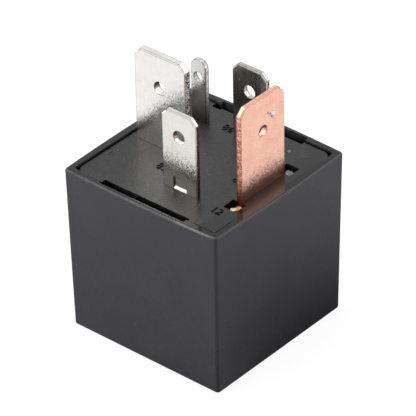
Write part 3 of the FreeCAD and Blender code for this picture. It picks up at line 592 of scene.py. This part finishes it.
def pits_and_creases(tree, mm, colour, rounded, pits, crease_shade):
    """The colour with its pits, and with painted shade where the rounded surface leans from the real one."""
    pitted = add(tree, "TexNoise", None, {"Vector": mm, "Scale": 1 / PIT_MM, "Detail": 2, "Roughness": 0.6})
    pit = add(tree, "MapRange", None, {"Value": pitted, "From Min": 0.5, "From Max": 0.72,
                                       "To Min": 1.0, "To Max": 1 - pits})
    geometry = add(tree, "NewGeometry")
    lean = add(tree, "VectorMath", {"operation": "DOT_PRODUCT"}, {0: rounded, 1: (geometry, "Normal")})
    crease = add(tree, "MapRange", None, {"Value": (lean, "Value"), "From Min": 0.995, "From Max": 0.93,
                                          "To Min": 1.0, "To Max": crease_shade})
    pits_and_crease_shade = add(tree, "Math", TIMES, {0: pit, 1: crease})
    return add(tree, "Mix", DARKEN, {0: 1.0, 6: (colour, 2), 7: pits_and_crease_shade})


def shaded_foot(tree, colour, part, foot_shade_colour, foot_top, foot_full):
    """The colour with painted shade, from the height foot_top down to foot_full, in mm."""
    foot = add(tree, "MapRange", {"interpolation_type": "SMOOTHSTEP"}, {
        "Value": (part, "Z"), "From Min": foot_top, "From Max": foot_full})
    return add(tree, "Mix", DARKEN, {0: foot, 6: (colour, 2), 7: linear(foot_shade_colour)})


# %% [markdown]
# What a mirror shows depends on its gloss and on its tilt. The faces are satin, the torn sides and
# the tip rougher, and a speck of dust is dull. Stamped strip leans and waves a little, and each
# grain of its tin lies at its own tilt, so the border of what it mirrors breaks up into sparks.
# The grains are drawn at 0.16 mm, a pixel, though real ones are smaller.

# %% Strip: gloss and tilt
DUST_APART, GRAIN_MM, WAVE_MM, WAVE_TILT = 0.9, 0.16, 4, 0.03  # the first three in mm
TIP_ROUGHNESS, TORN_ROUGHNESS = 0.4, 0.45


def strip_gloss(tree, mm, tone, tip, edge, roughness):
    """The roughness of face, tip and torn side, with dust on all of them, 0.1 mm a speck."""
    satin = add(tree, "MapRange", None, {"Value": tone, "From Min": 0.3, "From Max": 0.7,
                                         "To Min": roughness - 0.04, "To Max": roughness + 0.04})
    rough_tip = add(tree, "Mix", None, {0: tip, 2: satin, 3: TIP_ROUGHNESS})
    rough = add(tree, "Mix", None, {0: edge, 2: rough_tip, 3: TORN_ROUGHNESS})
    lint = add(tree, "TexVoronoi", None, {"Vector": mm, "Scale": 1 / DUST_APART})
    dust = add(tree, "MapRange", None, {"Value": lint, "From Min": 0.09, "From Max": 0.05, "To Max": 0.4})
    return add(tree, "Mix", None, {0: dust, 2: rough, 3: 1.0})


def strip_tilt(tree, mm, rounded, edge, ragged, sparkle, lean):
    """The direction of the surface: lean for all of it, sparkle for each grain, and the torn relief."""
    grains = add(tree, "TexVoronoi", None, {"Vector": mm, "Scale": 1 / GRAIN_MM})
    waves = add(tree, "TexNoise", None, {"Vector": mm, "Scale": 1 / WAVE_MM, "Detail": 1})
    normal = add(tree, "VectorMath", {"operation": "ADD"}, {0: rounded, 1: (0, 0, lean)})
    for pattern, tilt in ((grains, sparkle), (waves, WAVE_TILT)):
        either_way = add(tree, "VectorMath", {"operation": "SUBTRACT"}, {0: (pattern, "Color"), 1: (0.5, 0.5, 0.5)})
        normal = add(tree, "VectorMath", TIMES_PLUS, {0: either_way, 1: (tilt, tilt, tilt), 2: normal})
    normal = add(tree, "VectorMath", {"operation": "NORMALIZE"}, {0: normal})
    torn_relief = add(tree, "Bump", None, {"Strength": 1.0, "Distance": TORN_DEPTH * MM,
                                           "Height": ragged, "Normal": normal})
    return add(tree, "Mix", {"data_type": "VECTOR"}, {0: edge, 4: normal, 5: torn_relief})


# %% [markdown]
# Each blade then gets a finish of its own, because the place of its sides and its tip goes into the
# masks. The colours belong to the metal: clean tin, worn tin, tin that has gone dull or dark, and
# bare copper; the darker colour towards each foot is painted shade.

# %% Rolled and sheared strip
def sheared_strip(name, face, face_dark, torn, torn_dark, foot_shade_colour, foot_top, foot_full, lit_side,
                  across, low, thick, middle, half_width, top,
                  roughness, sparkle, lines, lean, pits, corner_shade, crease_shade):
    """Strip metal. across is "X" or "Y", the way of its thickness, and low its lower face there. middle
    and half_width say where its sides are. lit_side is 1 or -1. Lengths are in mm."""
    material, tree, shader, mm = open_material(name, {"Metallic": 1.0})
    side = "Y" if across == "X" else "X"
    part = add(tree, "SeparateXYZ", None, {0: mm})
    facing = add(tree, "SeparateXYZ", None, {0: (add(tree, "TexCoord"), "Normal")})
    rounded = add(tree, "Bevel", {"samples": 4}, {"Radius": CREASE_RADIUS * MM})
    turned = add(tree, "Math", SIZE, {0: (facing, side)})
    lit_way = add(tree, "Math", TIMES, {0: (facing, side), 1: lit_side})
    from_axis = add(tree, "Math", {"operation": "SUBTRACT"}, {0: (part, side), 1: middle})
    aside = add(tree, "Math", SIZE, {0: from_axis})

    tone, plate = rolled_face(tree, mm, lines, face, face_dark)
    tip, tip_shaded_colour = shaded_coined_tip(tree, plate, part, facing, lit_way, top, corner_shade)
    edge, side_metal, ragged = torn_side(tree, mm, plate, turned, (part, across), aside,
                                         low, thick, half_width, torn, torn_dark)
    colour = add(tree, "Mix", BLEND, {0: edge, 6: (tip_shaded_colour, 2), 7: (side_metal, 2)})
    colour = painted_rear_edge(tree, colour, (part, across), lit_way, low, thick, lit_side)
    colour = shaded_hole_walls(tree, colour, part, facing, across, aside, half_width, top)
    colour = pits_and_creases(tree, mm, colour, rounded, pits, crease_shade)
    colour = shaded_foot(tree, colour, part, foot_shade_colour, foot_top, foot_full)
    link(tree, (colour, 2), shader, "Base Color")
    link(tree, strip_gloss(tree, mm, tone, tip, edge, roughness), shader, "Roughness")
    link(tree, (strip_tilt(tree, mm, rounded, edge, ragged, sparkle, lean), 1), shader, "Normal")
    return material


# %% The five blades
METALS = {
    # bright tin over a clean shear: silver faces, and sides that sparkle black and white
    "tin": dict(face="#f8f6f2", face_dark="#efedea", torn="#ffffff", torn_dark="#12100f",
                foot_shade_colour="#d3d0cd", foot_top=32, foot_full=29, lit_side=1),
    # tin worn through on its cut sides: the brown of the alloy shows
    "worn tin": dict(face="#efece7", face_dark="#e5e2db", torn="#8e6d5e", torn_dark="#3f2b24",
                     foot_shade_colour="#cfcbc7", foot_top=32.5, foot_full=30, lit_side=1),
    # tin gone matt: grey, and painted darker towards its foot as shade
    "dull tin": dict(face="#e2dfda", face_dark="#d6d3cd", torn="#e6e1dc", torn_dark="#b0a69f",
                     foot_shade_colour="#625f5d", foot_top=34, foot_full=26.9, lit_side=1),
    # smooth tin that mirrors the plate: dark, with clear rolling lines
    "dark tin": dict(face="#d6d3cd", face_dark="#bbb8b1", torn="#cfc5bd", torn_dark="#45382f",
                     foot_shade_colour="#ffffff", foot_top=28, foot_full=26.9, lit_side=1),
    # bare copper, a little oxidised: salmon faces, redder and darker where it was sheared
    "copper": dict(face="#ffccb8", face_dark="#f7bca6", torn="#fcc0ab", torn_dark="#b26f5b",
                   foot_shade_colour="#846d6c", foot_top=30.8, foot_full=26.9, lit_side=-1),
}
STRIPS = {
    "common_blade": ("tinned_strip_wide", "tin", dict(
        across="Y", low=-1.15, thick=1.2, middle=-7.05, half_width=4.75, top=42.4, roughness=0.2,
        sparkle=0.08, lines=0.1, lean=0.0, pits=0.06, corner_shade=0.75, crease_shade=0.2)),
    "open_blade": ("bare_copper_strip", "copper", dict(
        across="X", low=10.0, thick=1.0, middle=0.05, half_width=4.75, top=42.15, roughness=0.3,
        sparkle=0.2, lines=0.15, lean=0.08, pits=0.22, corner_shade=0.85, crease_shade=0.7)),
    "coil_blade_front": ("tinned_strip_front", "worn tin", dict(
        across="Y", low=-7.94, thick=0.8, middle=2.33, half_width=3.15, top=39.9, roughness=0.23,
        sparkle=0.11, lines=0.35, lean=0.05, pits=0.08, corner_shade=0.75, crease_shade=0.2)),
    "coil_blade_back": ("tinned_strip_back", "dark tin", dict(
        across="Y", low=7.46, thick=0.8, middle=2.33, half_width=3.15, top=39.9, roughness=0.12,
        sparkle=0.05, lines=0.7, lean=0.0, pits=0.1, corner_shade=0.7, crease_shade=0.2)),
    "closed_blade": ("tinned_strip_narrow", "dull tin", dict(
        across="Y", low=7.8, thick=0.8, middle=-7.6, half_width=1.4, top=37.3, roughness=0.2,
        sparkle=0.09, lines=0.3, lean=0.0, pits=0.06, corner_shade=0.35, crease_shade=0.2)),
}
strip_of = {blade: sheared_strip(name, **METALS[metal], **shape) for blade, (name, metal, shape) in STRIPS.items()}
print("strip finishes:", list(strip_of))

# %% [markdown]
# ## The works inside
# Nothing of the works shows while the cup is on, yet a relay taken apart should look right. Each
# gets the finish of the real part: zinc-plated soft iron, natural polyester, enamelled wire,
# amber tape, spring bronze, silver contacts, brass rivets and a lacquered resistor. In these
# simple finishes one pattern drives colour, gloss and relief alike.

# %% Metals of the works
def dress(tree, shader, pattern, tone, dark, pale, low_gloss, high_gloss, relief_mm):
    """Colour from tone; roughness, between its values at 0 and 1, and relief from the pattern."""
    colour = add(tree, "Mix", BLEND, {0: tone, 6: linear(dark), 7: linear(pale)})
    link(tree, (colour, 2), shader, "Base Color")
    gloss = add(tree, "MapRange", None, {"Value": pattern, "To Min": low_gloss, "To Max": high_gloss})
    link(tree, gloss, shader, "Roughness")
    relief = add(tree, "Bump", None, {"Strength": 1.0, "Distance": relief_mm * MM, "Height": pattern})
    link(tree, relief, shader, "Normal")


def worked_metal(name, pale, dark, roughness, grain_mm, relief_mm, stretch=(1, 1, 1)):
    """Metal with two tones in a pattern of grain_mm, which stretch lengthens along an axis."""
    material, tree, shader, mm = open_material(name, {"Metallic": 1.0})
    laid = add(tree, "VectorMath", TIMES, {0: mm, 1: stretch})
    grain = add(tree, "TexNoise", None, {"Vector": laid, "Scale": 1 / grain_mm, "Detail": 3, "Roughness": 0.6})
    shade = add(tree, "MapRange", None, {"Value": grain, "From Min": 0.35, "From Max": 0.65})
    dress(tree, shader, grain, shade, dark, pale, roughness + 0.08, roughness - 0.08, relief_mm)
    return material


# zinc plating on soft iron: pale grey and satin, in soft clouds
zinc_iron = worked_metal("zinc_plated_soft_iron", "#c9cac6", "#a9aaa4", 0.38, 0.6, 0.006)
# rolled bronze: a warm yellow with long fine lines
bronze = worked_metal("rolled_spring_bronze", "#d8b27a", "#bb8f55", 0.28, 0.3, 0.003, (1, 1, 0.1))
# silver alloy, headed and never polished: white, a little cloudy
silver = worked_metal("silver_contact_alloy", "#e6e4df", "#c4c1ba", 0.3, 0.25, 0.004)
# brass rivets: yellow, with the press marks of their heads
brass = worked_metal("headed_rivet_brass", "#d9bd7c", "#b3924f", 0.3, 0.4, 0.004)
# tinned braid: a rough weave of silver over brown; its 0.1 mm wires are drawn at 0.25 mm
braid_copper = worked_metal("tinned_braid", "#d5cdc0", "#8d6f58", 0.4, 0.25, 0.04)
print("metals of the works done")


# %% Plastics and windings of the works
def works_plastic(name, pale, dark, roughness, relief_mm, grain_mm=0.5):
    material, tree, shader, mm = open_material(name, {"IOR": 1.5})
    grain = add(tree, "TexNoise", None, {"Vector": mm, "Scale": 1 / grain_mm, "Detail": 3})
    dress(tree, shader, grain, grain, dark, pale, roughness - 0.06, roughness + 0.06, relief_mm)
    return material


def wound_wire(name, pale, dark, wire_mm):
    """Turns of wire laid side by side round an upright bobbin, each wire_mm thick."""
    material, tree, shader, mm = open_material(name, {"IOR": 1.55, "Coat Weight": 0.6, "Metallic": 0.6})
    height = add(tree, "SeparateXYZ", None, {0: mm})
    turn = add(tree, "Math", TIMES, {0: (height, "Z"), 1: math.pi / wire_mm})
    crown = add(tree, "Math", SIZE, {0: add(tree, "Math", {"operation": "SINE"}, {0: turn})})
    dress(tree, shader, crown, crown, dark, pale, 0.5, 0.25, wire_mm / 2)
    return material


# moulded polyester without pigment: the colour of ivory, matt
bobbin_polyester = works_plastic("natural_polyester", "#d9d2bd", "#cbc3ab", 0.45, 0.006)
# clear polyester tape over yellow glue: amber and smooth
amber_tape = works_plastic("amber_polyester_tape", "#d8a63c", "#c18e2b", 0.25, 0.004, 2.0)
# dipped lacquer: blue grey and shiny, a little uneven
resistor_lacquer = works_plastic("resistor_lacquer", "#5c86a8", "#4d7698", 0.22, 0.01, 0.8)
# enamelled wire: red brown crowns with a dark line between the turns
copper_wire = wound_wire("enamelled_copper_wire", "#c0683a", "#5c2512", 0.25)
print("plastics and windings done")

# %% [markdown]
# ## Dressing the CAD parts
# A CAD part keeps its mesh and its place. Only the material in its slot is changed.

# %% Materials on every CAD part
FINISHES = {
    "case_plastic": cup_nylon, "base_plastic": plate_nylon, "plated_steel": zinc_iron,
    "bobbin_plastic": bobbin_polyester, "enamelled_wire": copper_wire, "winding_tape": amber_tape,
    "spring_bronze": bronze, "contact_silver": silver, "rivet_brass": brass,
    "resistor_ceramic": resistor_lacquer, "tinned_blade": zinc_iron, "bare_copper": braid_copper,
}
record_slots = {part["node"]: part["material_slot"] for part in frame["record"]["subparts"]}
for name, part in nodes.items():
    finish = strip_of.get(name) or FINISHES[record_slots[name]]
    for slot in part.material_slots:
        slot.material = finish
    print(name, "->", finish.name)

# %% [markdown]
# ## Numbers, beads and marks
# A relay's plate carries raised numbers beside its blades, cut into the mould, so they stand up
# from the plate in the same nylon, a little smoother. Each is a text curve with a thickness and a
# tiny bevel, turned into a mesh. None of these pieces is in the CAD model, because they carry
# nothing.

# %% A piece that rides on the housing
PLATE_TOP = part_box("base")[1].z / MM


def keep(mesh, name, finish):
    """Puts a mesh in the scene as a piece of the housing, with its finish."""
    mesh.materials.clear()
    mesh.materials.append(finish)
    piece = bpy.data.objects.new(name, mesh)
    scene.collection.objects.link(piece)
    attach(piece, "housing")
    print(name, len(mesh.polygons), "faces")
    return piece


# %% Raised numbers
NUMBER_SIZE, NUMBER_RISE, NUMBER_BEVEL, NUMBER_THINNER = 2.0, 0.12, 0.03, 0.06  # mm
for name, digits, x, y in (
        ("number_common", "30", -8.4, 1.3), ("number_coil_front", "85", -4.7, -5.4),
        ("number_coil_back", "86", -3.9, 8.2), ("number_open", "87", 6.1, -1.3),
        ("number_cavity", "12", 8.5, -9.0)):
    words = bpy.data.curves.new(name, "FONT")
    words.body, words.size = digits, NUMBER_SIZE * MM
    words.offset = -NUMBER_THINNER * MM
    words.extrude, words.bevel_depth, words.bevel_resolution = NUMBER_RISE * MM, NUMBER_BEVEL * MM, 1
    pattern = bpy.data.objects.new(name, words)
    scene.collection.objects.link(pattern)
    raised = bpy.data.meshes.new_from_object(pattern)
    bpy.data.objects.remove(pattern)
    raised.transform(Matrix.Translation(Vector((x, y, PLATE_TOP)) * MM))
    raised.name = name
    keep(raised, name, number_nylon)

# %% [markdown]
# In the two square holes beside the copper blade sits a bead of sealing resin, and a splash of
# solder with burnt flux lies on that blade. They were liquid once, so they are round lumps without
# a plain shape. Each starts as an icosphere in bmesh, is pressed to its size, and every vertex is
# then moved by a noise of the lump's own scale. The resin is glossy and greyish brown; in the first
# hole it is painted amber, a painted glow of the copper, with a cream lobe as painted highlight. The
# solder is grey, dull and pitted.

# %% Resin and solder
RESIN_CLOUD_MM = 0.8


def cast_resin(name, pale, dark):
    material, tree, shader, mm = open_material(name, {"IOR": 1.54, "Coat Weight": 0.8, "Coat Roughness": 0.08})
    cloud = add(tree, "TexNoise", None, {"Vector": mm, "Scale": 1 / RESIN_CLOUD_MM, "Detail": 3})
    dress(tree, shader, cloud, cloud, dark, pale, 0.12, 0.3, 0.03)
    return material


# cast resin, set in the hole: glossy, cloudy and grey; amber and cream, in the first hole, are a painted glow of
# the copper and a painted highlight; flux burns brown
resin_painted_copper_glow = cast_resin("sealing_resin_painted_copper_glow", "#f0a040", "#7a4312")
resin_painted_highlight = cast_resin("sealing_resin_painted_highlight", "#fff0d8", "#d8b48a")
grey_resin = cast_resin("grey_sealing_resin", "#6e6963", "#38342f")
flux = cast_resin("burnt_flux", "#5a3a2c", "#1e1410")
# solder that splashed and froze: pale grey and pitted
solder = worked_metal("dull_solder", "#eef1f2", "#9fa5a8", 0.35, 0.35, 0.03)
print("resins and solder done")

# %% Beads and splash
LUMP_WAVES = 1.7  # how often the noise turns over a lump, whatever its size


def lump(name, middle, half_size, unevenness, finish):
    """A round, uneven lump. middle and half_size are in mm, unevenness is a share of the radius."""
    ball = bmesh.new()
    bmesh.ops.create_icosphere(ball, subdivisions=4, radius=1)
    for vertex in ball.verts:
        way = vertex.co.copy()
        reach = 1 + unevenness * noise.noise(way * LUMP_WAVES + Vector(middle))
        vertex.co = (Vector(middle) + Vector(a * b for a, b in zip(way, half_size)) * reach) * MM
    for face in ball.faces:
        face.smooth = True
    mesh = bpy.data.meshes.new(name)
    ball.to_mesh(mesh)
    ball.free()
    return keep(mesh, name, finish)


# the first hole's bead is painted amber and cream: a painted glow of the copper and a painted highlight
lump("bead_front", (11.2, -5.75, 26.35), (0.55, 0.7, 0.5), 0.25, resin_painted_copper_glow)
lump("bead_front_painted_highlight", (10.75, -6.35, 26.3), (0.5, 0.45, 0.42), 0.45, resin_painted_highlight)
lump("bead_back", (10.85, 5.9, 26.25), (0.62, 0.8, 0.45), 0.3, grey_resin)
lump("solder_splash", (11.0, 2.25, 38.45), (0.09, 0.42, 0.62), 0.8, solder)
lump("solder_tail", (11.0, 1.8, 38.5), (0.06, 0.36, 0.2), 0.9, solder)
lump("flux_mark_high", (10.99, 1.2, 39.0), (0.05, 0.1, 0.26), 0.8, flux)
lump("flux_mark_low", (11.0, 1.62, 38.75), (0.06, 0.1, 0.13), 0.8, flux)
lump("moulded_nib", (-12.2, -6.6, PLATE_TOP), (0.3, 0.7, 0.14), 0.5, plate_nylon)
lump("flash_fleck", (7.75, 9.7, PLATE_TOP), (0.22, 0.3, 0.1), 0.9, grey_resin)
